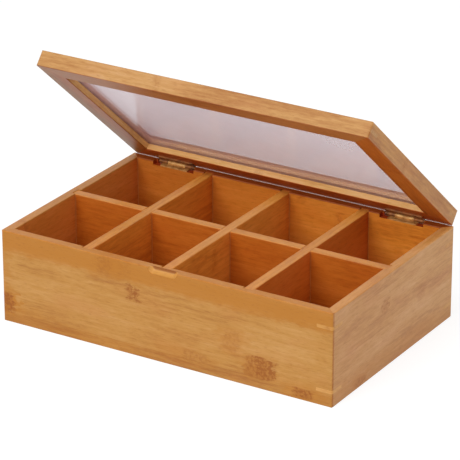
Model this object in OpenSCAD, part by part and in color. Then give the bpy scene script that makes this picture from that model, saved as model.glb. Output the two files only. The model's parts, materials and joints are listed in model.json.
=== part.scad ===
/* [Box] */
// Outside width of the box, left to right
box_w = 320; // [260:1:420]
// Outside depth of the box, front to back
box_d = 205; // [150:1:280]
// Height of the four walls
box_h = 83; // [60:1:120]
// Thickness of the four walls
wall_t = 8.5; // [8:0.1:14]
// Rounding of the four upright corners
corner_r = 2; // [0.5:0.1:3]
// Rounding of the long edges of walls and rails
arris_r = 0.7; // [0.3:0.1:1.5]

/* [Bottom panel] */
// Thickness of the bottom panel
bottom_t = 5; // [3:0.1:8]
// How far the bottom panel is let into each wall
rebate_w = 4.5; // [2:0.1:6]

/* [Dividers] */
// Thickness of the dividers
divider_t = 8.8; // [4:0.1:10]
// How far the divider tops lie below the rim
divider_drop = 0.5; // [0.2:0.1:6]
// Depth of the housings that hold the divider ends
housing_d = 3; // [1:0.1:4]
// Rounding of the divider top edges
divider_arris_r = 0.8; // [0.2:0.1:1.5]
// Side clearance of housings and cross halvings
slip = 0.1; // [0.05:0.05:0.4]

/* [Corner keys] */
// Thickness of the keys let across the mitres
key_t = 3; // [1.5:0.1:5]
// Height of the key centres above the base, and below the rim
key_inset = 13.5; // [9:0.1:20]
// Wood left between a key and the inside corner
key_skin = 1.4; // [0.5:0.1:3]

/* [Finger scoop] */
// Radius of the scoop's round section
scoop_r = 5.2; // [4:0.1:7]
// How far the scoop's axis lies in front of the front face
scoop_out = 0.8; // [0.5:0.1:3]
// Length of the scoop between its round ends
scoop_straight = 18; // [10:1:60]

/* [Lid] */
// Thickness of the lid frame
lid_t = 14; // [10:0.1:20]
// Width of the lid rails
rail_w = 20; // [15:0.1:40]
// How far the lid stops short of each side of the box
lid_side_reveal = 2; // [0:0.1:4]
// How far the lid stops short of the front of the box
lid_front_reveal = 4; // [0:0.1:6]
// Gap between the closed lid and the rim
lid_gap = 0.3; // [0.2:0.1:0.6]
// Bevel along the upper edge of the window opening
window_bevel = 3; // [1:0.1:4]
// How far the lid stands open
lid_open = 40.75; // [0:0.25:95]

/* [Window pane] */
// Thickness of the clear pane
pane_t = 2; // [1:0.1:2.5]
// Height of the pane above the underside of the lid
pane_rise = 5.3; // [3:0.1:6]
// Depth of the groove that holds the pane
groove_d = 5; // [3:0.1:7]
// Clearance of the pane in its groove, at each edge
pane_edge_gap = 0.5; // [0.2:0.1:1]
// Clearance above the pane in its groove
pane_top_gap = 0.2; // [0.1:0.1:0.5]

/* [Hinges] */
// Distance of the hinge centres from the sides of the box
hinge_inset = 46; // [30:1:60]
// Length of a hinge along its pin
hinge_l = 36; // [30:0.5:44]
// Length of each outer knuckle
end_knuckle_l = 8.8; // [6:0.1:10]
// Running gap between neighbouring knuckles
knuckle_gap = 0.3; // [0.1:0.05:0.6]
// Outer radius of the knuckles
knuckle_r = 2; // [1.6:0.1:2.4]
// How far the pin's axis lies in front of the back of the box
pin_in = 1; // [0:0.1:1.5]
// Gap between the knuckles and the wood and leaves in front of them
barrel_gap = 0.3; // [0.2:0.1:0.8]
// Radius of the hinge pin
pin_r = 1; // [0.6:0.05:1.2]
// Radial running clearance of the pin
pin_fit = 0.05; // [0.02:0.01:0.1]
// Radius of the pin's riveted heads
pin_head_r = 1.6; // [1.4:0.1:1.9]
// Length of each riveted head
pin_head_l = 0.7; // [0.4:0.1:1.2]
// Thickness of the hinge leaves
leaf_t = 1.2; // [0.8:0.1:1.6]
// Gap between the two leaves when the lid is closed
leaf_gap = 1.5; // [0.3:0.1:2]
// Width of each leaf, from its front edge to its back edge
leaf_d = 5.1; // [5:0.1:8]
// Length of the leaf on the box
box_leaf_l = 28; // [22:0.5:34]
// Rounding of the leaf corners
leaf_corner_r = 1.2; // [0.3:0.1:2]
// Clearance of the leaves in the mortise, at each end
mortise_end_gap = 3; // [1:0.1:6]
// Clearance of the knuckles at each end, where the mortise opens at the back
barrel_end_gap = 1.1; // [1:0.1:6]

/* [Screws] */
// Radius of the countersunk screw heads
screw_head_r = 1.8; // [1.6:0.1:2.4]
// Radius of the screw shanks
screw_r = 1; // [0.7:0.05:1.2]
// Length of the screws under the leaf
screw_l = 8; // [4:0.1:10]
// Depth of the countersink
sink_h = 1; // [0.5:0.05:1.2]
// Clearance around the screws
screw_fit = 0.05; // [0.03:0.01:0.15]
// Distance from the screws to the back edges of the leaves
screw_set = 2.7; // [2.6:0.1:5]
// Distance of the box leaf's screws from the hinge centre
box_screw_x = 8.5; // [5:0.1:9]
// Distance of the lid leaf's screws from the hinge centre
lid_screw_x = 12; // [8:0.1:13]
// Width of the cross recess in the screw heads
recess_w = 0.6; // [0.4:0.05:0.8]
// Depth of the cross recess
recess_h = 0.6; // [0.3:0.05:0.8]

/* [Hidden] */

$fn = 48;
// A cut reaches this far past the surface that it opens
past = 1;

bamboo = [0.80, 0.58, 0.33];
bamboo_dark = [0.68, 0.44, 0.22];
bamboo_pale = [0.88, 0.70, 0.46];
brass = [0.80, 0.66, 0.36];
clear = [0.80, 0.78, 0.80, 0.35];

inner_w = box_w - 2 * wall_t;
inner_d = box_d - 2 * wall_t;
// Distance from one cross divider to the next: four equal cells across
cell_pitch = (inner_w + divider_t) / 4;
divider_h = box_h - bottom_t - divider_drop;
// The keys' triangle reaches to key_skin from the inside corner
key_leg = 2 * wall_t - key_skin * sqrt(2);

lid_w = box_w - 2 * lid_side_reveal;
lid_d = box_d - lid_front_reveal;
// Middle of the lid, front to back, while it is closed
lid_mid_y = lid_front_reveal / 2;
groove_h = pane_t + pane_top_gap;
pane_reach = rail_w - groove_d + pane_edge_gap;

// Closed, both leaves lie in the mortise, and the pin lies midway between them
mortise_h = 2 * leaf_t + leaf_gap - lid_gap;
mortise_l = hinge_l + 2 * mortise_end_gap;
barrel_room = hinge_l + 2 * barrel_end_gap;
axis_y = box_d / 2 - pin_in;
axis_z = box_h - mortise_h + leaf_t + leaf_gap / 2;
mid_knuckle_l = hinge_l - 2 * end_knuckle_l - 2 * knuckle_gap;
hinge_x = box_w / 2 - hinge_inset;
// Where the leaves end and only straps run on to the knuckles
leaf_back_y = axis_y - knuckle_r - barrel_gap;

// What is cut away to round a corner at the origin of a shape in the positive quadrant
module round_off(r) {
    difference() {
        translate([-past, -past]) square(r + past);
        translate([r, r]) circle(r);
    }
}

// Section of a box wall: outer face at x = 0, inner face at x = wall_t
module wall_section() {
    difference() {
        square([wall_t, box_h]);
        translate([wall_t - rebate_w, -past]) square([rebate_w + past, bottom_t + past]);
        round_off(arris_r);
        translate([0, box_h]) mirror([0, 1]) round_off(arris_r);
        translate([wall_t, box_h]) rotate(180) round_off(arris_r);
    }
}

// Section of a lid rail: outer face at x = 0, window side at x = rail_w
module rail_section() {
    difference() {
        square([rail_w, lid_t]);
        round_off(arris_r);
        translate([0, lid_t]) mirror([0, 1]) round_off(arris_r);
        translate([rail_w, 0]) mirror([1, 0]) round_off(arris_r);
        translate([rail_w, lid_t]) rotate(45) square(window_bevel * sqrt(2), center = true);
        translate([rail_w - groove_d, pane_rise]) square([groove_d + past, groove_h]);
    }
}

// A bar along X, mitred at both ends. Its outer face lies at y = 0
module mitred_bar(length, width, height) {
    difference() {
        intersection() {
            rotate([90, 0, 90]) linear_extrude(length, center = true) children();
            linear_extrude(height) polygon([
                [-length / 2, 0], [length / 2, 0],
                [length / 2 - width, width], [width - length / 2, width]
            ]);
        }
        for (side = [0, 1]) mirror([side, 0, 0]) translate([-length / 2, 0, -past])
            linear_extrude(height + 2 * past) round_off(corner_r);
    }
}

// Plan of a corner key, with the corner at the origin
module key_plan(reach) {
    polygon([[-reach, -reach], [key_leg + reach, -reach], [-reach, key_leg + reach]]);
}

module key(height) {
    translate([0, 0, height - key_t / 2]) linear_extrude(key_t) difference() {
        key_plan(0);
        round_off(corner_r);
    }
}

// The slot's slanted face is the key's: both lie on the same line
module key_slot(height) {
    translate([0, 0, height - key_t / 2]) linear_extrude(key_t) key_plan(past);
}

// Puts a child drawn at the front left corner at any corner of a w by d plan
module at_corner(w, d, right, back) {
    mirror([right, 0, 0]) mirror([0, back, 0]) translate([-w / 2, -d / 2, 0]) children();
}

module wall_key_slots(right, back) {
    for (height = [key_inset, box_h - key_inset])
        at_corner(box_w, box_d, right, back) key_slot(height);
}

// The dividers' ends stand in housings that run from the bottom panel to the rim
module housing() {
    translate([-divider_t / 2 - slip, -housing_d, bottom_t])
        cube([divider_t + 2 * slip, housing_d + past, box_h]);
}

module scoop() {
    translate([0, -box_d / 2 - scoop_out, box_h]) {
        rotate([0, 90, 0]) cylinder(r = scoop_r, h = scoop_straight, center = true);
        for (end = [-1, 1]) translate([end * scoop_straight / 2, 0, 0]) sphere(scoop_r);
    }
}

module front_wall() {
    color(bamboo) difference() {
        translate([0, -box_d / 2, 0]) mitred_bar(box_w, wall_t, box_h) wall_section();
        for (cell = [-1, 0, 1]) translate([cell * cell_pitch, -inner_d / 2, 0]) housing();
        for (right = [0, 1]) wall_key_slots(right, 0);
        scoop();
    }
}

// Hollow around the closed knuckles, in the wall below them and in the lid above them
module barrel_cove() {
    translate([0, axis_y, axis_z]) rotate([0, 90, 0])
        cylinder(r = knuckle_r + barrel_gap, h = barrel_room, center = true);
}

// Mortise in the top of the rear wall, which narrows behind the leaves to the knuckles' length
module hinge_mortise() {
    translate([-mortise_l / 2, inner_d / 2 - past, box_h - mortise_h])
        cube([mortise_l, leaf_back_y - inner_d / 2 + past, mortise_h + past]);
    translate([-barrel_room / 2, leaf_back_y - past, box_h - mortise_h])
        cube([barrel_room, box_d / 2 - leaf_back_y + 2 * past, mortise_h + past]);
    barrel_cove();
}

module rear_wall() {
    color(bamboo) difference() {
        rotate(180) translate([0, -box_d / 2, 0]) mitred_bar(box_w, wall_t, box_h) wall_section();
        for (cell = [-1, 0, 1]) translate([cell * cell_pitch, inner_d / 2, 0]) rotate(180) housing();
        for (right = [0, 1]) wall_key_slots(right, 1);
        for (side = [-1, 1]) translate([side * hinge_x, 0, 0]) {
            hinge_mortise();
            box_screw_places() pilot_hole();
        }
    }
}

module side_wall(right) {
    color(bamboo) mirror([right, 0, 0]) difference() {
        rotate(-90) translate([0, -box_w / 2, 0]) mitred_bar(box_d, wall_t, box_h) wall_section();
        translate([-inner_w / 2, 0, 0]) rotate(-90) housing();
        for (back = [0, 1]) wall_key_slots(0, back);
    }
}

module bottom_panel() {
    color(bamboo_dark) translate([-inner_w / 2 - rebate_w, -inner_d / 2 - rebate_w, 0])
        cube([inner_w + 2 * rebate_w, inner_d + 2 * rebate_w, bottom_t]);
}

module corner_keys(right, back) {
    color(bamboo_pale) for (height = [key_inset, box_h - key_inset])
        at_corner(box_w, box_d, right, back) key(height);
}

// A divider along X, standing on the bottom panel
module divider_board(length) {
    translate([0, 0, bottom_t]) rotate([90, 0, 90]) linear_extrude(length, center = true)
        difference() {
            translate([-divider_t / 2, 0]) square([divider_t, divider_h]);
            for (side = [0, 1]) mirror([side, 0]) translate([-divider_t / 2, divider_h])
                mirror([0, 1]) round_off(divider_arris_r);
        }
}

// Halving cut at a crossing of two dividers, from the given height upwards
module halving(low, high) {
    translate([-divider_t / 2 - slip, -divider_t, low])
        cube([divider_t + 2 * slip, 2 * divider_t, high - low]);
}

// The long divider is halved from above
module long_divider() {
    color(bamboo) difference() {
        divider_board(inner_w + 2 * housing_d - 2 * slip);
        for (cell = [-1, 0, 1]) translate([cell * cell_pitch, 0, 0])
            halving(bottom_t + divider_h / 2, box_h + past);
    }
}

// The cross dividers are halved from below
module cross_divider(cell) {
    color(bamboo) translate([cell * cell_pitch, 0, 0]) rotate(90) difference() {
        divider_board(inner_d + 2 * housing_d - 2 * slip);
        halving(bottom_t - past, bottom_t + divider_h / 2);
    }
}

// Puts the closed lid's pieces, drawn with the lid's underside at z = 0, at the open angle
module on_lid() {
    on_hinge_axis() translate([0, -axis_y, box_h + lid_gap - axis_z]) children();
}

// Children are drawn around the pin with the lid closed, and swing open about it
module on_hinge_axis() {
    translate([0, axis_y, axis_z]) rotate([-lid_open, 0, 0]) children();
}

module lid_key_slot(right, back) {
    at_corner(lid_w, lid_d, right, back) key_slot(lid_t / 2);
}

module lid_key(right, back) {
    color(bamboo_pale) on_lid() translate([0, lid_mid_y, 0])
        at_corner(lid_w, lid_d, right, back) key(lid_t / 2);
}

module lid_front_rail() {
    color(bamboo) on_lid() translate([0, lid_mid_y, 0]) difference() {
        translate([0, -lid_d / 2, 0]) mitred_bar(lid_w, rail_w, lid_t) rail_section();
        for (right = [0, 1]) lid_key_slot(right, 0);
    }
}

module lid_rear_rail() {
    color(bamboo) on_lid() difference() {
        translate([0, lid_mid_y, 0]) difference() {
            rotate(180) translate([0, -lid_d / 2, 0]) mitred_bar(lid_w, rail_w, lid_t) rail_section();
            for (right = [0, 1]) lid_key_slot(right, 1);
        }
        for (side = [-1, 1]) translate([side * hinge_x, 0, -box_h - lid_gap]) {
            barrel_cove();
            lid_screw_places() pilot_hole();
        }
    }
}

module lid_side_rail(right) {
    color(bamboo) on_lid() translate([0, lid_mid_y, 0]) mirror([right, 0, 0]) difference() {
        rotate(-90) translate([0, -lid_w / 2, 0]) mitred_bar(lid_d, rail_w, lid_t) rail_section();
        for (back = [0, 1]) lid_key_slot(0, back);
    }
}

module window_pane() {
    color(clear) on_lid()
        translate([pane_reach - lid_w / 2, lid_mid_y + pane_reach - lid_d / 2, pane_rise])
            cube([lid_w - 2 * pane_reach, lid_d - 2 * pane_reach, pane_t]);
}

// Children are drawn as if the leaf's face were at z = 0 and the wood below it
module box_screw_places() {
    for (side = [-1, 1])
        translate([side * box_screw_x, leaf_back_y - screw_set, box_h - mortise_h + leaf_t])
            children();
}

// On the closed lid the leaf faces down and the wood lies above it
module lid_screw_places() {
    for (side = [-1, 1])
        translate([side * lid_screw_x, leaf_back_y - screw_set, box_h + lid_gap - leaf_t])
            rotate([180, 0, 0]) children();
}

module pilot_hole() {
    translate([0, 0, -leaf_t - screw_l - screw_fit])
        cylinder(r = screw_r + screw_fit, h = screw_l + leaf_t);
}

// Hole through a leaf, with its countersink
module screw_hole() {
    translate([0, 0, -leaf_t - past]) cylinder(r = screw_r + screw_fit, h = leaf_t + 2 * past);
    translate([0, 0, -sink_h])
        cylinder(r1 = screw_r + screw_fit, r2 = screw_head_r + screw_fit, h = sink_h);
    cylinder(r = screw_head_r + screw_fit, h = past);
}

module screw() {
    difference() {
        union() {
            translate([0, 0, -sink_h]) cylinder(r1 = screw_r, r2 = screw_head_r, h = sink_h);
            translate([0, 0, -leaf_t - screw_l]) cylinder(r = screw_r, h = leaf_t + screw_l);
        }
        for (turn = [0, 90]) rotate(turn) translate([0, 0, past - recess_h])
            cube([screw_head_r * 1.3, recess_w, 2 * past], center = true);
    }
}

// A leaf's plate, front corners rounded, with its back edge at y = 0
module leaf_plate(length) {
    linear_extrude(leaf_t) difference() {
        translate([-length / 2, -leaf_d]) square([length, leaf_d]);
        for (side = [0, 1]) mirror([side, 0]) translate([-length / 2, -leaf_d])
            round_off(leaf_corner_r);
    }
}

module knuckle(x0, length) {
    translate([x0, 0, 0]) rotate([0, 90, 0]) cylinder(r = knuckle_r, h = length);
}

module pin_bore() {
    rotate([0, 90, 0]) cylinder(r = pin_r + pin_fit, h = hinge_l + 2 * past, center = true);
}

// The strap that carries a knuckle from the leaf's back edge to the pin
module strap(x0, length) {
    translate([x0, leaf_back_y - axis_y - past, 0])
        cube([length, axis_y - leaf_back_y + past, leaf_t]);
}

module box_leaf(side) {
    color(brass) translate([side * hinge_x, 0, 0]) difference() {
        translate([0, axis_y, axis_z]) difference() {
            union() {
                translate([0, leaf_back_y - axis_y, -leaf_t - leaf_gap / 2]) leaf_plate(box_leaf_l);
                translate([0, 0, -leaf_t - leaf_gap / 2]) strap(-mid_knuckle_l / 2, mid_knuckle_l);
                knuckle(-mid_knuckle_l / 2, mid_knuckle_l);
            }
            pin_bore();
        }
        box_screw_places() screw_hole();
    }
}

module lid_leaf(side) {
    color(brass) on_hinge_axis() translate([side * hinge_x, 0, 0]) difference() {
        union() {
            translate([0, leaf_back_y - axis_y, leaf_gap / 2]) leaf_plate(hinge_l);
            for (x0 = [-hinge_l / 2, hinge_l / 2 - end_knuckle_l]) {
                translate([0, 0, leaf_gap / 2]) strap(x0, end_knuckle_l);
                knuckle(x0, end_knuckle_l);
            }
        }
        pin_bore();
        translate([0, -axis_y, -axis_z]) lid_screw_places() screw_hole();
    }
}

module hinge_pin(side) {
    color(brass) translate([side * hinge_x, axis_y, axis_z]) {
        rotate([0, 90, 0]) cylinder(r = pin_r, h = hinge_l + 2 * knuckle_gap, center = true);
        for (end = [0, 1]) mirror([end, 0, 0]) translate([hinge_l / 2 + pin_fit, 0, 0])
            rotate([0, 90, 0]) cylinder(r1 = pin_head_r, r2 = pin_r, h = pin_head_l);
    }
}

module box_screws(side) {
    color(brass) translate([side * hinge_x, 0, 0]) box_screw_places() screw();
}

module lid_screws(side) {
    color(brass) on_hinge_axis() translate([side * hinge_x, -axis_y, -axis_z])
        lid_screw_places() screw();
}

front_wall();
rear_wall();
side_wall(0);  // left_wall
side_wall(1);  // right_wall
bottom_panel();
corner_keys(0, 0);  // keys_front_left
corner_keys(1, 0);  // keys_front_right
corner_keys(0, 1);  // keys_rear_left
corner_keys(1, 1);  // keys_rear_right
long_divider();
cross_divider(-1);  // cross_divider_left
cross_divider(0);  // cross_divider_middle
cross_divider(1);  // cross_divider_right
lid_front_rail();
lid_rear_rail();
lid_side_rail(0);  // lid_left_rail
lid_side_rail(1);  // lid_right_rail
lid_key(0, 0);  // lid_key_front_left
lid_key(1, 0);  // lid_key_front_right
lid_key(0, 1);  // lid_key_rear_left
lid_key(1, 1);  // lid_key_rear_right
window_pane();
box_leaf(-1);  // hinge_left_box_leaf
lid_leaf(-1);  // hinge_left_lid_leaf
hinge_pin(-1);  // hinge_left_pin
box_screws(-1);  // hinge_left_box_screws
lid_screws(-1);  // hinge_left_lid_screws
box_leaf(1);  // hinge_right_box_leaf
lid_leaf(1);  // hinge_right_lid_leaf
hinge_pin(1);  // hinge_right_pin
box_screws(1);  // hinge_right_box_screws
lid_screws(1);  // hinge_right_lid_screws
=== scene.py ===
"""The looks of an open tea bag box: bamboo boards and keys, brass hinges and a clear window."""

import json
import math
from collections import namedtuple

import bpy
import numpy as np
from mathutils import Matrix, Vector


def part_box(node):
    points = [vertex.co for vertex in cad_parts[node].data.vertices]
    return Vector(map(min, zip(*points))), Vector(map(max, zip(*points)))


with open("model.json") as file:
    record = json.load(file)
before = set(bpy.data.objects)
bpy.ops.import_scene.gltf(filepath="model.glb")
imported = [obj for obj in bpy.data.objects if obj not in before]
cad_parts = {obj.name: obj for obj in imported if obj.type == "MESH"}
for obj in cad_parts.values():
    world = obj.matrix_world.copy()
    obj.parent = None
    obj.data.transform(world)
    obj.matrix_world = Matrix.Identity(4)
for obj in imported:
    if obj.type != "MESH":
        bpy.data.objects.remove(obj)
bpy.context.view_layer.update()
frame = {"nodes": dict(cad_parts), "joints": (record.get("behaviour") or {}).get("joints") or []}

METRES_TO_MM = 1000

# The lid's hinge as the record gives it, and how far the lid stands open at rest
HINGE = frame["joints"][0]
HINGE_POINT = Vector(HINGE["pos_m"])
LID_OPEN = math.radians(-HINGE["range_deg"][0])

# The camera: where it looks, from which side, how high and how far off
LOOK_AT = Vector((0.0, 0.0, 0.060))
CAMERA_AZIMUTH = math.radians(31.457)
CAMERA_ELEVATION = math.radians(23.742)
CAMERA_DISTANCE = 2.5828
LENS = 240.33
SHIFT_X = 0.0044
SHIFT_Y = 0.0504
FAR_CLIP = 100

# The room: an even pale light from all round, and a white floor and backdrop
ROOM_LEVEL = 0.4
FLOOR_HALF_WIDTH = 6.0
FLOOR_BOUNCE = (0.8, 0.8, 0.8, 1)
FLOOR_SHADE = (0.3, 0.3, 0.3, 1)
FLOOR_GLOW = 0.8
WHITE = (1, 1, 1, 1)

# The lamps: the azimuth and height of each in degrees, and its power in watts
LAMPS = {"front_lamp": (-12, 34, 34), "right_lamp": (80, 40, 14), "top_lamp": (-20, 80, 12)}
LAMP_DISTANCE = 2.6
LAMP_SIDE = 1.4

# The case in millimetres, from the frame
FRONT_LOW, FRONT_HIGH = [corner * METRES_TO_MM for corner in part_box("front_wall")]
HALF_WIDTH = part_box("right_wall")[1].x * METRES_TO_MM
HALF_DEPTH = -FRONT_LOW.y
CASE_HEIGHT = FRONT_HIGH.z
INNER_HALF_WIDTH = HALF_WIDTH - (FRONT_HIGH.y - FRONT_LOW.y)
INNER_HALF_DEPTH = -FRONT_HIGH.y
CROSS_BOARDS = [f"cross_divider_{side}" for side in ("left", "middle", "right")]
CROSS_RIGHT_FACES = [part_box(board)[1].x * METRES_TO_MM for board in CROSS_BOARDS]

# The lid in millimetres, while it is shut
LID_GAP = 0.3
RAIL_WIDTH = 20.0
FRONT_REVEAL = 4.0
PANE_RISE = 5.3
PANE_THICKNESS = 2.0
LID_BOTTOM = CASE_HEIGHT + LID_GAP
LID_HALF_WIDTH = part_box("lid_right_rail")[1].x * METRES_TO_MM
WINDOW_HALF_WIDTH = LID_HALF_WIDTH - RAIL_WIDTH
WINDOW_FRONT = FRONT_REVEAL - HALF_DEPTH + RAIL_WIDTH
WINDOW_BACK = HALF_DEPTH - RAIL_WIDTH
PANE_TOP = LID_BOTTOM + PANE_RISE + PANE_THICKNESS

# A point of a piece, in millimetres
Place = namedtuple("Place", "x y z")

# The tinted places of the case, in millimetres: how far they reach, or where they begin and are full
PAST_INNER_FACE = (0.05, 0.4)
BELOW_RIM = (-1.3, -0.6)
ABOVE_BASE = (0.2, 0.5)
DEEP_REACH = 62.0
SIDEWAYS_REACH = 1.2 * HALF_WIDTH
MORTISE_FRONT = (0.05, 0.3)
MORTISE_BACK = (-0.3, -0.05)
MORTISE_FLOOR = (-4.5, -4.0)
SCOOP_ENDS = (12.5, 15.5)
SCOOP_FRONT = (0.1, 0.3)
SCOOP_BACK = (4.5, 4.9)
SCOOP_STEEP = (3.5, 4.2)
SCOOP_FLOOR = (-9.0, -8.0)
MITRE_INSET = 1.2
MITRE_LINE = (0.4, 1.1)
MITRE_SIDE = (-1.5, -1.0)

# The same for the lid, where it is shut
ABOVE_UNDERSIDE = (0.2, 0.7)
LEFT_END = (-130.0, -30.0)
OUTER_RAIL = (4.0, RAIL_WIDTH)
WINDOW_BAND = (3.0, 4.2)
ARRIS_SIDE = (0.5, 0.9)
ARRIS_HEIGHT = (0.6, 1.0)
REAR_PART = (10.0, 60.0)
BESIDE_OPENING = (0.1, 0.4)
ABOVE_PANE = (0.0, 0.3)


def paint(red, green, blue):
    """A colour as a screen shows it, 0 to 255, turned by the screens' curve into a linear colour."""
    shown = np.array([red, green, blue]) / 255
    linear = np.where(shown <= 0.04045, shown / 12.92, ((shown + 0.055) / 1.055) ** 2.4)
    return (*linear.tolist(), 1.0)


# The tones of the bamboo
PALE_BAMBOO = paint(208, 155, 84)
GOLDEN_BAMBOO = paint(193, 136, 58)
DEEP_BAMBOO = paint(158, 92, 28)
REDDISH_BAMBOO = paint(190, 114, 52)
STAIN_BAMBOO = paint(186, 117, 28)
KNUCKLE_BROWN = paint(148, 75, 12)
SEAM_PALE = paint(214, 150, 92)

# The tones of the hinges: the lower leaf, pin and screws, and the leaf on the lid, painted browner and
# darker as shade under the lid
BRIGHT_BRASS = paint(222, 172, 104)
DULL_BRASS = paint(166, 102, 36)
SHADED_BRASS = paint(160, 98, 44)
DEEP_SHADE_BRASS = paint(84, 42, 14)

# The tarnish and the scratches of the brass, in millimetres, and how the tarnish covers it
TARNISH_PER_MM = 0.22
TARNISH_RISE = (0.35, 0.7)
TARNISH_COVER = 0.8
SCRATCH_LENGTH = 8
SCRATCH_WIDTH = 0.6
FIRST_BRASS_SEED = 10
UPPER_LEAF_SEED = 3

# The haze of the window, with painted shade that makes it a little darker at its left end, and the size
# of its clouds in millimetres
SHADED_LEFT_HAZE = paint(200, 168, 182)
RIGHT_HAZE = paint(220, 194, 208)
LEFT_HAZE_END = (-138.0, -92.0)
HAZE_SIZE = 30
ACRYLIC_IOR = 1.49

# How much of the window shows: its clear middle, its veil when seen aslant, more veil for the painted
# shade at its left end, and its clouds
CLEAR_VEIL = 0.04
ASLANT_VEIL = 3.0
LEFT_SHADE_VEIL = 0.9
VEIL_POWER = 7.0
CLOUD_VEIL = 0.03
CLOUD_RISE = (0.4, 0.8)

# How rough the window is, and how much rougher where the clouds are
WINDOW_ROUGHNESS = 0.06
CLOUD_ROUGHNESS = 0.03
ROUGH_RISE = (0.3, 0.8)

# The grain, in millimetres: strips glued side by side, with a knuckle every so often along each
STRIP_WIDTH = 18.75
KNUCKLE_PITCH = 260.0
KNUCKLE_REACH = 6.0
GLUE_LINE = 0.35

# The patterns of the grain: how long and how wide the patches of each are, in millimetres
BROAD_SIZE = (90.0, 26.0)
STREAK_SIZE = (45.0, 2.6)
MOTTLE_SIZE = (11.0, 2.6)
FIBRE_SIZE = (10.0, 0.5)
BUNDLE_SIZE = (6.0, 0.9)
HUE_SIZE = (50.0, 20.0)
WOBBLE_SIZE = (9.0, 4.0)
RAGGED_SIZE = (14.0, 3.0)
DASH_SIZE = (3.0, 3.2)

# How far each of them swings the tone of a board, or its redness
BROAD_SWING = 0.9
STREAK_SWING = 0.75
MOTTLE_SWING = 0.7
FIBRE_SWING = 0.4
HUE_SWING = 1.6

# Where the bundle ends and the dashes of a knuckle begin and are full, from 0 to 1 in their patterns
BUNDLE_RISE = (0.6, 0.72)
DASH_RISE = (0.4, 0.62)

# How dark a knuckle is between its dashes, how much darker on them, and the half width of its middle
BETWEEN_DASHES = 0.35
ON_DASHES = 0.95
KNUCKLE_CORE = 0.5

# How far the edges of knuckles, marks and stains wander, in millimetres
KNUCKLE_WANDER = 10
MARK_WANDER = (18, 6)
STAIN_WANDER = (40, 10)

# How strongly each colour covers the ones under it
REDDISH_COVER = 0.6
STAIN_COVER = 0.9
BUNDLE_COVER = 0.3
GLUE_COVER = 0.16
KNUCKLE_COVER = 0.75
SEAM_COVER = 0.4

# The pale lines across the grain, where a cross board stands against a long one
SEAM_OFFSET = 0.3
SEAM_LINE = (0.3, 0.8)

# How a board's seed shifts its patterns, and what is added to it for each draw of chance
SHIFT_ALONG = 7.3
SHIFT_ACROSS = 3.1
TONE_DRAW = 0.0
KNUCKLE_DRAW = 0.5
STRENGTH_DRAW = 0.7

# How strong the relief of the grain and of the brass is, and how deep, in metres
GRAIN_BUMP = 0.25
GRAIN_DEPTH = 0.0002
BRASS_BUMP = 0.08
BRASS_DEPTH = 0.00003

# How square the marks and stains are, where 2 is an ellipse, and how soon they fade
SQUARENESS = 4.0
MARK_EDGE = 0.1
STAIN_EDGE = -0.4


def pick(sockets, key):
    """A socket by its number, or the first whose identifier or name is the key."""
    if isinstance(key, int):
        return sockets[key]
    return next(s for s in sockets if key in (s.identifier, s.name))


class Wire:
    """An output socket of a node. Sums and products of wires and numbers add Math nodes."""

    def __init__(self, finish, socket):
        self.finish = finish
        self.socket = socket

    def math(self, operation, *values, clamp=False):
        """A Math node of this operation on the values, in order."""
        settings = {"operation": operation, "use_clamp": clamp}
        return self.finish.node("ShaderNodeMath", settings, dict(enumerate(values)))

    def __add__(self, other):
        return self.math("ADD", self, other)

    def __radd__(self, other):
        return self.math("ADD", other, self)

    def __sub__(self, other):
        return self.math("SUBTRACT", self, other)

    def __rsub__(self, other):
        return self.math("SUBTRACT", other, self)

    def __mul__(self, other):
        return self.math("MULTIPLY", self, other)

    def __rmul__(self, other):
        return self.math("MULTIPLY", other, self)

    def __truediv__(self, other):
        return self.math("DIVIDE", self, other)

    def __pow__(self, power):
        return self.math("POWER", self, power)

    def __abs__(self):
        return self.math("ABSOLUTE", self)

    def floor(self):
        """The whole number below."""
        return self.math("FLOOR", self)

    def fraction(self):
        """What is left above the whole number below."""
        return self.math("FRACT", self)

    def most(self, other):
        """The larger of this and another."""
        return self.math("MAXIMUM", self, other)

    def held(self):
        """This, kept from 0 to 1."""
        return self.math("ADD", self, 0.0, clamp=True)

    def rise(self, start, end):
        """0 up to start and 1 from end, with a smooth step between."""
        settings = {"interpolation_type": "SMOOTHSTEP"}
        inputs = {"Value": self, "From Min": start, "From Max": end}
        return self.finish.node("ShaderNodeMapRange", settings, inputs, "Result")

    def near(self, inner, outer):
        """1 within inner of zero on either side, and 0 past outer."""
        return 1 - abs(self).rise(inner, outer)


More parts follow.
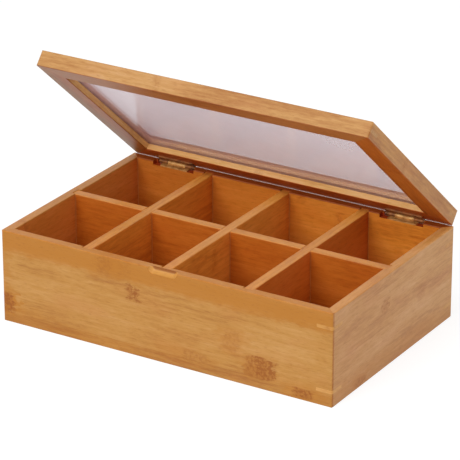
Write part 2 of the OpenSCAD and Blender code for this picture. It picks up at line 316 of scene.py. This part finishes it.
class Finish:
    """A node tree under construction, of a material or the world."""

    def __init__(self, tree):
        self.tree = tree
        self.tree.nodes.clear()

    def node(self, kind, settings=None, inputs=None, output=0):
        """Adds a node with these settings, sets or links its inputs, and gives one output as a wire."""
        made = self.tree.nodes.new(kind)
        for name, value in (settings or {}).items():
            setattr(made, name, value)
        for key, value in (inputs or {}).items():
            socket = pick(made.inputs, key)
            if isinstance(value, Wire):
                self.tree.links.new(value.socket, socket)
            else:
                socket.default_value = value
        return Wire(self, pick(made.outputs, output)) if made.outputs else made

    def place(self, on_lid=False):
        """The place on the piece in millimetres. A lid's piece is turned back to where it is shut."""
        point = self.node("ShaderNodeTexCoord", output="Object")
        if on_lid:
            turn = {"Vector": point, "Center": HINGE_POINT, "Angle": LID_OPEN}
            point = self.node("ShaderNodeVectorRotate", {"rotation_type": "X_AXIS"}, turn)
        scaled = {"Vector": point, "Scale": METRES_TO_MM}
        scaled = self.node("ShaderNodeVectorMath", {"operation": "SCALE"}, scaled)
        split = self.node("ShaderNodeSeparateXYZ", inputs={"Vector": scaled})
        return Place(*[Wire(self, socket) for socket in split.socket.node.outputs])

    def vector(self, x, y, z):
        """Three numbers as one vector."""
        return self.node("ShaderNodeCombineXYZ", inputs={"X": x, "Y": y, "Z": z})

    def blend(self, share, first, second, way="MIX"):
        """The first colour, with this share of the second over it."""
        settings = {"data_type": "RGBA", "blend_type": way, "clamp_factor": True}
        inputs = {"Factor_Float": share, "A_Color": first, "B_Color": second}
        return self.node("ShaderNodeMix", settings, inputs, "Result_Color")

    def noise(self, vector, detail=2.0, roughness=0.5, scale=1.0):
        """Cloudy noise about 0.5 over a vector."""
        inputs = {"Vector": vector, "Scale": scale, "Detail": detail, "Roughness": roughness}
        return self.node("ShaderNodeTexNoise", {"noise_dimensions": "3D"}, inputs, "Fac")

    def chance(self, x, y):
        """A number from 0 to 1, picked once for each pair of whole numbers."""
        inputs = {"Vector": self.vector(x, y, 0.0)}
        return self.node("ShaderNodeTexWhiteNoise", {"noise_dimensions": "2D"}, inputs, "Value")

    def bump(self, height, strength, distance):
        """A normal that follows a height, at most the distance in metres deep."""
        inputs = {"Height": height, "Strength": strength, "Distance": distance}
        return self.node("ShaderNodeBump", inputs=inputs)

    def surface(self, shader):
        """Shows the shader on the material's surface."""
        self.node("ShaderNodeOutputMaterial", inputs={"Surface": shader})


def new_finish(name):
    """A new material, and its empty node tree."""
    material = bpy.data.materials.new(name)
    material.use_nodes = True
    return material, Finish(material.node_tree)


def on_rim(place):
    """1 on the top edges of the case's boards."""
    return (place.z - CASE_HEIGHT).rise(*BELOW_RIM)


def inside_case(place):
    """1 on faces inside the case under its rim, and 0 on the rim, the outer faces and the underside."""
    outer = (abs(place.x) - INNER_HALF_WIDTH).rise(*PAST_INNER_FACE)
    outer = outer.most((abs(place.y) - INNER_HALF_DEPTH).rise(*PAST_INNER_FACE))
    outer = outer.most(on_rim(place))
    return 1 - outer.most(1 - place.z.rise(*ABOVE_BASE))


def deep_inside(place):
    """1 near the floor of the case, on the faces inside it, and fading to 0 towards the rim."""
    return inside_case(place) * (1 - place.z.rise(0.0, DEEP_REACH))


def inside_to_the_right(place):
    """On the faces inside the case, near 0 at its left end and rising to near 1 at its right end."""
    return inside_case(place) * place.x.rise(-SIDEWAYS_REACH, SIDEWAYS_REACH)


def to_the_back(place):
    """0 at the front of the case, and rising to 1 at its back."""
    return place.y.rise(-HALF_DEPTH, HALF_DEPTH)


def in_mortise(place):
    """1 on the faces of the hinge mortises, cut in the top of the rear wall."""
    between = (place.y - INNER_HALF_DEPTH).rise(*MORTISE_FRONT)
    between = between * (1 - (place.y - HALF_DEPTH).rise(*MORTISE_BACK))
    return between * (place.z - CASE_HEIGHT).rise(*MORTISE_FLOOR) * (1 - on_rim(place))


def in_scoop(place):
    """1 on the hollow in the middle of the front wall's top edge."""
    depth = place.y + HALF_DEPTH
    hollow = place.x.near(*SCOOP_ENDS) * depth.rise(*SCOOP_FRONT) * (1 - depth.rise(*SCOOP_BACK))
    return hollow * (place.z - CASE_HEIGHT).rise(*SCOOP_FLOOR)


def back_of_scoop(place):
    """1 on the steep part of that hollow."""
    return in_scoop(place) * (place.y + HALF_DEPTH).rise(*SCOOP_STEEP)


def beside_mitre(place):
    """1 on a thin line down the rounded corner, where the right wall meets the front wall."""
    line = (place.y + HALF_DEPTH - MITRE_INSET).near(*MITRE_LINE)
    return line * (place.x - HALF_WIDTH).rise(*MITRE_SIDE)


def under_lid(place):
    """1 on the underside of the lid's rails."""
    return 1 - (place.z - LID_BOTTOM).rise(*ABOVE_UNDERSIDE)


def left_under_lid(place):
    """1 on the left end of the underside of the lid's long rails."""
    return under_lid(place) * (1 - place.x.rise(*LEFT_END))


def past_window_side(place):
    """How far a point lies sideways past the window's opening, in millimetres."""
    return abs(place.x) - WINDOW_HALF_WIDTH


def outer_under_lid(place):
    """1 on the outer part of the underside of the lid's side rails, fading to 0 near the window."""
    return under_lid(place) * past_window_side(place).rise(*OUTER_RAIL)


def edge_of_window(place):
    """1 on a narrow band of the underside of the side rails, next to the window."""
    return under_lid(place) * past_window_side(place).near(*WINDOW_BAND)


def arris_of_window(place):
    """1 on the rounded edge between a side rail's underside and the window, on the rear of the lid."""
    edge = past_window_side(place).near(*ARRIS_SIDE) * (place.z - LID_BOTTOM).near(*ARRIS_HEIGHT)
    return edge * place.y.rise(*REAR_PART)


def beside_window(place):
    """1 on the faces of the rails that look into the window's opening, above and below the pane."""
    outer = past_window_side(place).rise(*BESIDE_OPENING)
    outer = outer.most((WINDOW_FRONT - place.y).rise(*BESIDE_OPENING))
    outer = outer.most((place.y - WINDOW_BACK).rise(*BESIDE_OPENING))
    return (1 - outer) * (1 - under_lid(place))


def above_pane(place):
    """1 on those faces where they lie above the pane."""
    return beside_window(place) * (place.z - PANE_TOP).rise(*ABOVE_PANE)


def spots(along, across, places, edge):
    """Patches with round corners: the place along and across, length, height and strength of each.

    A patch fades to 0 at its rim. An edge under 0 makes the fade softer, and its middle weaker.
    """
    cover = along * 0
    for spot_along, spot_across, length, height, strength in places:
        off_along = (along - spot_along) / length
        off_across = (across - spot_across) / height
        apart = off_along ** SQUARENESS + off_across ** SQUARENESS
        cover = cover.most((1 - apart.rise(edge, 1.0)) * strength)
    return cover


class Board:
    """The grain of one board, whose axes along, across and through it are named by letters."""

    def __init__(self, finish, place, axes, seed):
        self.finish = finish
        self.seed = seed
        self.along, self.across, self.through = [getattr(place, axis) for axis in axes]
        self.strip_place = self.across / STRIP_WIDTH + 0.5 * seed
        self.strip = self.strip_place.floor()
        self.wobble = self.pattern(WOBBLE_SIZE) - 0.5

    def pattern(self, size, detail=3.0, roughness=0.5):
        """Noise about 0.5, in patches this long along the grain and this wide across it."""
        length, width = size
        along = self.along / length + self.seed * SHIFT_ALONG
        across = self.across / width + self.seed * SHIFT_ACROSS
        vector = self.finish.vector(along, across, self.through / width)
        return self.finish.noise(vector, detail=detail, roughness=roughness)

    def chance(self, draw):
        """A number from 0 to 1 for each strip of the board, the same all along it."""
        return self.finish.chance(self.strip, self.seed + draw)

    def spots(self, places, wander, along_wander, edge):
        """Patches at these places, whose rims wander this far along the grain and across it."""
        along = self.along + along_wander * wander[0]
        return spots(along, self.across + self.wobble * wander[1], places, edge)

    def glue(self):
        """1 on the thin lines between the strips."""
        joint = (self.strip_place.fraction() - 0.5) * STRIP_WIDTH
        return 1 - (STRIP_WIDTH / 2 - abs(joint)).rise(0.0, GLUE_LINE)

    def knuckles(self, marks, strength):
        """Dark bars across the strips at places left to chance, and the marks, broken into dashes."""
        ragged = self.pattern(RAGGED_SIZE) - 0.5
        dashes = self.pattern(DASH_SIZE, 4.0, 0.6).rise(*DASH_RISE)
        turn = self.along / KNUCKLE_PITCH + self.chance(KNUCKLE_DRAW)
        off_middle = (turn.fraction() - 0.5) * KNUCKLE_PITCH + self.wobble * KNUCKLE_WANDER
        bars = off_middle.near(KNUCKLE_CORE, KNUCKLE_REACH) * self.chance(STRENGTH_DRAW) * strength
        cover = bars.most(self.spots(marks, MARK_WANDER, ragged, MARK_EDGE))
        return (cover * (BETWEEN_DASHES + ON_DASHES * dashes)).held()

    def stains(self, places):
        """Soft clouds at these places."""
        return self.spots(places, STAIN_WANDER, self.wobble, STAIN_EDGE)


def bamboo(
    name, axes, seed, on_lid=False, tone=0.5, tint=WHITE,
    marks=(), stains=(), shades=(), seams=(), knuckles=0.5, strips=0.3,
):
    """Satin bamboo board, whose axes along, across and through the grain are named by letters.

    Strips lie side by side across it, each with a tone of its own and a knuckle at its own places.
    Streaks, mottled fibres and short dark bundle ends run along it. Tone is how pale it is, marks
    are knuckles and stains deeper clouds at chosen places, knuckles is how strong the others are,
    strips how far their tones differ, seams are pale lines across the grain inside the case, and
    shades are pairs of a place and the tint that it gets.
    """
    material, f = new_finish(name)
    place = f.place(on_lid)
    board = Board(f, place, axes, seed)
    broad = board.pattern(BROAD_SIZE)
    streak = board.pattern(STREAK_SIZE, 4.0, 0.6)
    mottle = board.pattern(MOTTLE_SIZE, 4.0, 0.65)
    fibre = board.pattern(FIBRE_SIZE, 3.0, 0.6)
    bundle = board.pattern(BUNDLE_SIZE, 1.0)
    hue = board.pattern(HUE_SIZE)
    knuckle = board.knuckles(marks, knuckles)
    glue = board.glue()

    level = tone + (board.chance(TONE_DRAW) - 0.5) * strips
    swings = zip((broad, streak, mottle, fibre), (BROAD_SWING, STREAK_SWING, MOTTLE_SWING, FIBRE_SWING))
    for pattern, swing in swings:
        level = level + (pattern - 0.5) * swing

    colour = f.blend((level * 2).held(), DEEP_BAMBOO, GOLDEN_BAMBOO)
    colour = f.blend((level * 2 - 1).held(), colour, PALE_BAMBOO)
    colour = f.blend(((hue - 0.5) * HUE_SWING).held() * REDDISH_COVER, colour, REDDISH_BAMBOO)
    colour = f.blend(board.stains(stains) * STAIN_COVER, colour, STAIN_BAMBOO)
    colour = f.blend(bundle.rise(*BUNDLE_RISE) * BUNDLE_COVER, colour, DEEP_BAMBOO)
    colour = f.blend(glue * GLUE_COVER, colour, KNUCKLE_BROWN)
    colour = f.blend(knuckle * KNUCKLE_COVER, colour, KNUCKLE_BROWN)
    # The board's tint, a painted sheen on some boards, and the shades, painted light and shade on
    # single places
    colour = f.blend(1.0, colour, tint, "MULTIPLY")
    for where, shade in shades:
        colour = f.blend(where(place), colour, shade, "MULTIPLY")
    for seam in seams:
        line = (board.along - seam).near(*SEAM_LINE)
        colour = f.blend(line * inside_case(place) * SEAM_COVER, colour, SEAM_PALE)

    height = fibre * 0.6 + streak * 0.4 - knuckle * 0.5 - glue * 0.6
    shader = {
        "Base Color": colour,
        "Roughness": 0.42 + (fibre - 0.5) * 0.25 + knuckle * 0.1,
        "Normal": f.bump(height, GRAIN_BUMP, GRAIN_DEPTH),
        "Specular IOR Level": 0.3,
        "Coat Weight": 0.05,
        "Coat Roughness": 0.3,
    }
    f.surface(f.node("ShaderNodeBsdfPrincipled", inputs=shader))
    return material


def brass(name, seed, bright, dull):
    """Stamped brass, bright where it is clean and dull under cloudy tarnish, with fine scratches."""
    material, f = new_finish(name)
    place = f.place()
    tarnish = f.noise(f.vector(place.x + seed, place.y, place.z), scale=TARNISH_PER_MM)
    around = (place.y / SCRATCH_WIDTH, place.z / SCRATCH_WIDTH)
    scratch = f.noise(f.vector(place.x / SCRATCH_LENGTH + seed, *around))
    shader = {
        "Base Color": f.blend(tarnish.rise(*TARNISH_RISE) * TARNISH_COVER, bright, dull),
        "Metallic": 0.3,
        "Roughness": 0.5 + (tarnish - 0.5) * 0.2 + (scratch - 0.5) * 0.1,
        "Normal": f.bump(tarnish * 0.7 + scratch * 0.3, BRASS_BUMP, BRASS_DEPTH),
    }
    f.surface(f.node("ShaderNodeBsdfPrincipled", inputs=shader))
    return material


def clear_window(name):
    """Clear sheet with a faint haze: open seen square on, pale lilac grey seen aslant, and painted
    shade at its left end.
    """
    material, f = new_finish(name)
    place = f.place()
    haze = f.noise(f.vector(*[axis / HAZE_SIZE for axis in place]), detail=3.0)
    aslant = f.node("ShaderNodeLayerWeight", inputs={"Blend": 0.5}, output="Facing")
    # Painted shade: the window darker and more veiled towards its left end
    left = 1 - place.x.rise(*LEFT_HAZE_END)
    veil = CLEAR_VEIL + (ASLANT_VEIL + LEFT_SHADE_VEIL * left) * aslant ** VEIL_POWER
    shader = {
        "Base Color": f.blend(left, RIGHT_HAZE, SHADED_LEFT_HAZE),
        "Roughness": WINDOW_ROUGHNESS + haze.rise(*ROUGH_RISE) * CLOUD_ROUGHNESS,
        "IOR": ACRYLIC_IOR,
        "Specular IOR Level": 0.25,
        "Alpha": (veil + haze.rise(*CLOUD_RISE) * CLOUD_VEIL).held(),
    }
    f.surface(f.node("ShaderNodeBsdfPrincipled", inputs=shader))
    return material


def dress(finish, *nodes):
    """Gives each of these CAD nodes the finish on all its faces."""
    for node in nodes:
        slots = frame["nodes"][node].data.materials
        slots.clear()
        slots.append(finish)


# Knuckles and deeper clouds on the front and right: along, across, length, height and strength
FRONT_MARKS = (
    (-31.8, 56.0, 3.0, 9.0, 0.8),
    (-25.0, 55.0, 3.0, 8.0, 0.8),
    (-28.5, 57.0, 6.0, 3.5, 0.9),
    (-57.0, 74.0, 8.0, 10.0, 0.3),
    (-36.0, 74.0, 7.0, 10.0, 0.15),
    (92.5, 18.5, 17.0, 11.0, 0.6),
    (99.0, 16.0, 10.0, 8.0, 1.1),
    (96.0, 25.0, 14.0, 3.5, 1.0),
    (133.5, 6.0, 12.0, 5.0, 0.8),
    (131.5, 5.0, 6.0, 3.0, 1.0),
    (-156.0, 19.5, 8.0, 9.0, 1.1),
    (-154.5, 10.5, 8.0, 3.0, 0.5),
    (32.0, 13.5, 14.0, 6.0, 0.35),
    (66.0, 36.0, 9.0, 11.0, 0.25),
)
FRONT_STAINS = (
    (0.0, 75.0, 620.0, 12.5, 1.2),
    (-50.0, 76.0, 22.0, 12.0, 1.4),
    (-160.0, 40.0, 10.0, 60.0, 0.6),
    (-154.0, 17.0, 12.0, 14.0, 1.3),
    (-150.0, 8.0, 50.0, 11.0, 0.5),
    (-80.0, 3.0, 90.0, 9.0, 0.5),
    (20.0, 12.0, 36.0, 10.0, 0.4),
    (66.0, 36.0, 15.0, 14.0, 0.5),
    (92.0, 18.5, 20.0, 13.0, 0.6),
    (133.0, 6.0, 24.0, 9.0, 0.8),
    (150.0, 6.0, 50.0, 12.0, 0.5),
)
RIGHT_MARKS = (
    (-16.0, 56.0, 7.0, 7.0, 0.5),
    (46.0, 45.0, 8.0, 8.0, 0.2),
    (-57.0, 5.0, 9.0, 4.0, 0.5),
)
RIGHT_STAINS = ((0.0, 0.0, 300.0, 20.0, 0.5), (-57.0, 6.0, 18.0, 8.0, 1.0))
LID_STAINS = ((125.0, 90.0, 80.0, 200.0, 0.7),)

# Pale lines where the cross boards and the left wall meet a long board
CORNER_SEAMS = [place + SEAM_OFFSET for place in (-INNER_HALF_WIDTH, *CROSS_RIGHT_FACES)]

# Tints of whole boards, which multiply the bamboo's own colour
FRONT_TINT = (0.98, 1.0, 1.2, 1)
# Painted sheen: the right wall paler and greyer all over, as if its face caught a white reflection
RIGHT_TINT = (1.06, 1.06, 1.7, 1)
KEY_TINT = (1.09, 1.09, 1.25, 1)
# Painted sheen: the lid's front and right rails paler and greyer all over, and the lid's keys with the
# front rail
LID_FRONT_TINT = (1.0, 1.12, 2.1, 1)
LID_RIGHT_TINT = (1.08, 1.08, 1.55, 1)

# Tints of single places on a board, which multiply its colour there
# Painted shade: the faces inside the case darker and redder, the rear wall's shade lifting towards its
# right end
ACROSS_INSIDE = (1.05, 0.58, 0.28, 1)
REAR_INSIDE = (1.07, 0.65, 0.37, 1)
REAR_RIGHT_INSIDE = (1.44, 1.83, 1.9, 1)
BACK_TINT = (1.1, 1.17, 1.3, 1)
# Painted shade and light on the inner faces of the left wall and of each cross board
LEFT_INSIDE = (1.2, 0.8, 0.67, 1)
CROSS_INSIDE = ((1.35, 0.94, 0.6, 1), (1.46, 1.12, 0.85, 1), (1.08, 0.55, 0.35, 1))
# Painted light on the top edges of the boards, which catch the light from above; the left wall's is
# painted darker
RIM_TINT = (1.03, 0.95, 0.8, 1)
LEFT_RIM_TINT = (0.95, 0.8, 0.73, 1)
DIVIDER_RIM_TINT = (1.2, 1.02, 0.95, 1)
# Painted shade: deeper near the floor of the case, dark red in the hinge mortises, and dark red-brown
# on the rear rim under the open lid
DEEP_TINT = (0.85, 0.83, 0.95, 1)
MORTISE_TINT = (0.8, 0.22, 0.18, 1)
REAR_RIM_TINT = (0.68, 0.33, 0.27, 1)
# Painted light on the scoop's floor, which faces up, and painted shade on its steep back
SCOOP_TINT = (1.2, 1.4, 2.3, 1)
SCOOP_BACK_TINT = (0.5, 0.34, 0.18, 1)
MITRE_TINT = (0.78, 0.66, 0.52, 1)
# Painted light and shade on the lid's rails: their undersides shaded, the front rail's darker at its
# left end; the faces beside the window shaded on the front and right rails and lit on the rear and left
# ones, and lit above the pane; a pale painted sheen on the outer underside of the left rail
LID_FRONT_INSIDE = (0.85, 0.6, 0.5, 1)
LID_FRONT_LEFT = (0.8, 0.82, 0.84, 1)
LID_REAR_UNDER = (0.91, 0.44, 0.23, 1)
LID_REAR_INSIDE = (1.3, 1.5, 2.7, 1)
LID_REAR_UPPER = (1.5, 1.7, 2.2, 1)
LID_LEFT_UNDER = (0.75, 0.49, 0.32, 1)
LID_LEFT_OUTER = (0.82, 1.32, 3.9, 1)
LID_LEFT_UPPER = (1.3, 1.2, 1.1, 1)
LID_LEFT_INSIDE = (1.45, 1.8, 3.6, 1)
LID_RIGHT_INSIDE = (0.95, 0.58, 0.31, 1)
# Painted shade on a band of the right rail's underside beside the window, and a painted highlight on
# that rail's rounded edge by the window, towards the back
LID_RIGHT_EDGE = (0.8, 0.72, 0.6, 1)
LID_RIGHT_ARRIS = (1.5, 2.4, 4.5, 1)

ACROSS = ((inside_case, ACROSS_INSIDE), (deep_inside, DEEP_TINT), (on_rim, RIM_TINT))
LONG_SHADES = ((inside_case, ACROSS_INSIDE), (deep_inside, DEEP_TINT), (on_rim, DIVIDER_RIM_TINT))
FRONT_SHADES = (*ACROSS, (in_scoop, SCOOP_TINT), (back_of_scoop, SCOOP_BACK_TINT))
REAR_SHADES = (
    (inside_case, REAR_INSIDE),
    (inside_to_the_right, REAR_RIGHT_INSIDE),
    (deep_inside, DEEP_TINT),
    (on_rim, REAR_RIM_TINT),
    (in_mortise, MORTISE_TINT),
)
LEFT_SHADES = ((inside_case, LEFT_INSIDE), (on_rim, LEFT_RIM_TINT))
RIGHT_SHADES = (*ACROSS, (to_the_back, BACK_TINT), (beside_mitre, MITRE_TINT))

FRONT_RAIL_SHADES = (
    (under_lid, LID_FRONT_INSIDE),
    (left_under_lid, LID_FRONT_LEFT),
    (beside_window, LID_FRONT_INSIDE),
)
REAR_RAIL_SHADES = (
    (under_lid, LID_REAR_UNDER),
    (beside_window, LID_REAR_INSIDE),
    (above_pane, LID_REAR_UPPER),
)
LEFT_RAIL_SHADES = (
    (under_lid, LID_LEFT_UNDER),
    (outer_under_lid, LID_LEFT_OUTER),
    (beside_window, LID_LEFT_INSIDE),
    (above_pane, LID_LEFT_UPPER),
)
RIGHT_RAIL_SHADES = (
    (under_lid, LID_RIGHT_INSIDE),
    (edge_of_window, LID_RIGHT_EDGE),
    (beside_window, LID_RIGHT_INSIDE),
    (arris_of_window, LID_RIGHT_ARRIS),
)

# The woods that need more than a seed, the right wall's and the lid front's with a painted sheen. The
# left keys and the lid's keys share those of the front
FRONT_WOOD = {"tint": FRONT_TINT, "marks": FRONT_MARKS, "stains": FRONT_STAINS, "knuckles": 0.0}
RIGHT_WOOD_AND_SHEEN = {
    "tint": RIGHT_TINT,
    "marks": RIGHT_MARKS,
    "stains": RIGHT_STAINS,
    "knuckles": 0.0,
    "strips": 0.12,
}
LID_FRONT_WOOD_AND_SHEEN = {"tint": LID_FRONT_TINT, "stains": LID_STAINS}


def dress_case():
    """The walls, the bottom and the dividers, each of a board of its own."""
    dress(bamboo("bamboo_front", "xzy", 1, shades=FRONT_SHADES, **FRONT_WOOD), "front_wall")
    dress(bamboo("bamboo_rear", "xzy", 2, seams=CORNER_SEAMS, shades=REAR_SHADES), "rear_wall")
    dress(bamboo("bamboo_left", "yzx", 3, shades=LEFT_SHADES), "left_wall")
    dress(bamboo("bamboo_right", "yzx", 4, shades=RIGHT_SHADES, **RIGHT_WOOD_AND_SHEEN), "right_wall")
    dress(bamboo("bamboo_floor", "xyz", 5, tone=0.4, shades=ACROSS), "bottom_panel")
    dress(bamboo("bamboo_long_board", "xzy", 6, seams=CORNER_SEAMS, shades=LONG_SHADES), "long_divider")
    for number, board in enumerate(CROSS_BOARDS):
        shades = ((inside_case, CROSS_INSIDE[number]), (on_rim, DIVIDER_RIM_TINT))
        dress(bamboo(f"bamboo_{board}", "yzx", 7 + number, shades=shades), board)


def dress_lid():
    """The four rails of the lid."""
    front = bamboo("bamboo_lid_front", "xyz", 12, True, shades=FRONT_RAIL_SHADES, **LID_FRONT_WOOD_AND_SHEEN)
    rear = bamboo("bamboo_lid_rear", "xyz", 13, True, shades=REAR_RAIL_SHADES)
    left = bamboo("bamboo_lid_left", "yxz", 14, True, shades=LEFT_RAIL_SHADES)
    right = bamboo("bamboo_lid_right", "yxz", 15, True, tint=LID_RIGHT_TINT, shades=RIGHT_RAIL_SHADES)
    dress(front, "lid_front_rail")
    dress(rear, "lid_rear_rail")
    dress(left, "lid_left_rail")
    dress(right, "lid_right_rail")


def dress_keys():
    """The keys across the mitres: pale ones on the right of the case, and darker ones elsewhere."""
    matched = bamboo("bamboo_keys_left", "xzy", 1, tone=0.54, **FRONT_WOOD)
    pale = bamboo("bamboo_keys_right", "xzy", 10, tone=0.7, tint=KEY_TINT)
    dress(matched, "keys_front_left", "keys_rear_left")
    dress(pale, "keys_front_right", "keys_rear_right")
    lid_keys = [f"lid_key_{end}_{side}" for end in ("front", "rear") for side in ("left", "right")]
    # The lid's keys take the lid front rail's wood with its painted sheen
    dress(bamboo("bamboo_lid_keys", "xyz", 12, True, tone=0.55, **LID_FRONT_WOOD_AND_SHEEN), *lid_keys)


def dress_hinges():
    """Two hinges, each with brighter brass on the box and brass painted browner and darker on the lid,
    as shade.
    """
    for seed, hinge in enumerate(("hinge_left", "hinge_right"), FIRST_BRASS_SEED):
        barrel = [f"{hinge}_{part}" for part in ("box_leaf", "pin", "box_screws")]
        upper = [f"{hinge}_{part}" for part in ("lid_leaf", "lid_screws")]
        dress(brass(f"{hinge}_brass", seed, BRIGHT_BRASS, DULL_BRASS), *barrel)
        # The lid's leaf and screws take the same brass, painted in shade
        dress(brass(f"{hinge}_shaded_brass", UPPER_LEAF_SEED + seed, SHADED_BRASS, DEEP_SHADE_BRASS), *upper)


def seen_directly(f):
    """1 for a ray from the camera, off a shiny face or through the window, and 0 for other light."""
    kinds = ("Is Camera Ray", "Is Glossy Ray", "Is Transmission Ray")
    camera, glossy, through = [f.node("ShaderNodeLightPath", output=kind) for kind in kinds]
    return camera.most(glossy).most(through)


def make_room():
    """The world: white where it is seen, and dimmer as light on the object."""
    world = bpy.data.worlds.new("room")
    world.use_nodes = True
    bpy.context.scene.world = world
    f = Finish(world.node_tree)
    level = ROOM_LEVEL + (1 - ROOM_LEVEL) * seen_directly(f)
    light = f.node("ShaderNodeBackground", inputs={"Color": WHITE, "Strength": level})
    f.node("ShaderNodeOutputWorld", inputs={"Surface": light})


def make_floor():
    """A wide pale floor that reads as white, with the object's soft shadow on it."""
    half = FLOOR_HALF_WIDTH
    mesh = bpy.data.meshes.new("floor")
    corners = [(-half, -half, 0), (half, -half, 0), (half, half, 0), (-half, half, 0)]
    mesh.from_pydata(corners, [], [(0, 1, 2, 3)])
    floor = bpy.data.objects.new("floor", mesh)
    bpy.context.scene.collection.objects.link(floor)
    material, f = new_finish("floor_white")
    bounce = f.node("ShaderNodeBsdfDiffuse", inputs={"Color": FLOOR_BOUNCE})
    shade = f.node("ShaderNodeBsdfDiffuse", inputs={"Color": FLOOR_SHADE})
    glow = f.node("ShaderNodeEmission", inputs={"Color": WHITE, "Strength": FLOOR_GLOW})
    shown = f.node("ShaderNodeAddShader", inputs={0: shade, 1: glow})
    f.surface(f.node("ShaderNodeMixShader", inputs={"Fac": seen_directly(f), 1: bounce, 2: shown}))
    mesh.materials.append(material)


def from_side(azimuth, elevation):
    """The direction from the object to something at this azimuth and height. Azimuth 0 is the front."""
    level = math.cos(elevation)
    return Vector((math.sin(azimuth) * level, -math.cos(azimuth) * level, math.sin(elevation)))


def aim(thing, place):
    """Puts a camera or lamp at a place and turns it to look at the object."""
    thing.location = place
    thing.rotation_mode = "QUATERNION"
    thing.rotation_quaternion = (LOOK_AT - thing.location).to_track_quat("-Z", "Y")


def soft_lamp(name, azimuth, elevation, power):
    """A wide square lamp that looks at the object."""
    lamp = bpy.data.lights.new(name, "AREA")
    lamp.shape = "SQUARE"
    lamp.size = LAMP_SIDE
    lamp.energy = power
    thing = bpy.data.objects.new(name, lamp)
    bpy.context.scene.collection.objects.link(thing)
    direction = from_side(math.radians(azimuth), math.radians(elevation))
    aim(thing, LOOK_AT + direction * LAMP_DISTANCE)


def make_camera():
    """The camera, at the photographed angle."""
    lens = bpy.data.cameras.new("camera")
    lens.lens = LENS
    lens.shift_x = SHIFT_X
    lens.shift_y = SHIFT_Y
    lens.clip_end = FAR_CLIP
    camera = bpy.data.objects.new("camera", lens)
    bpy.context.scene.collection.objects.link(camera)
    aim(camera, LOOK_AT + from_side(CAMERA_AZIMUTH, CAMERA_ELEVATION) * CAMERA_DISTANCE)
    bpy.context.scene.camera = camera


dress_case()
dress_lid()
dress_keys()
dress(clear_window("clear_window"), "window_pane")
dress_hinges()
make_room()
make_floor()
for lamp_name, setting in LAMPS.items():
    soft_lamp(lamp_name, *setting)
make_camera()
bpy.context.scene.view_settings.view_transform = "Standard"
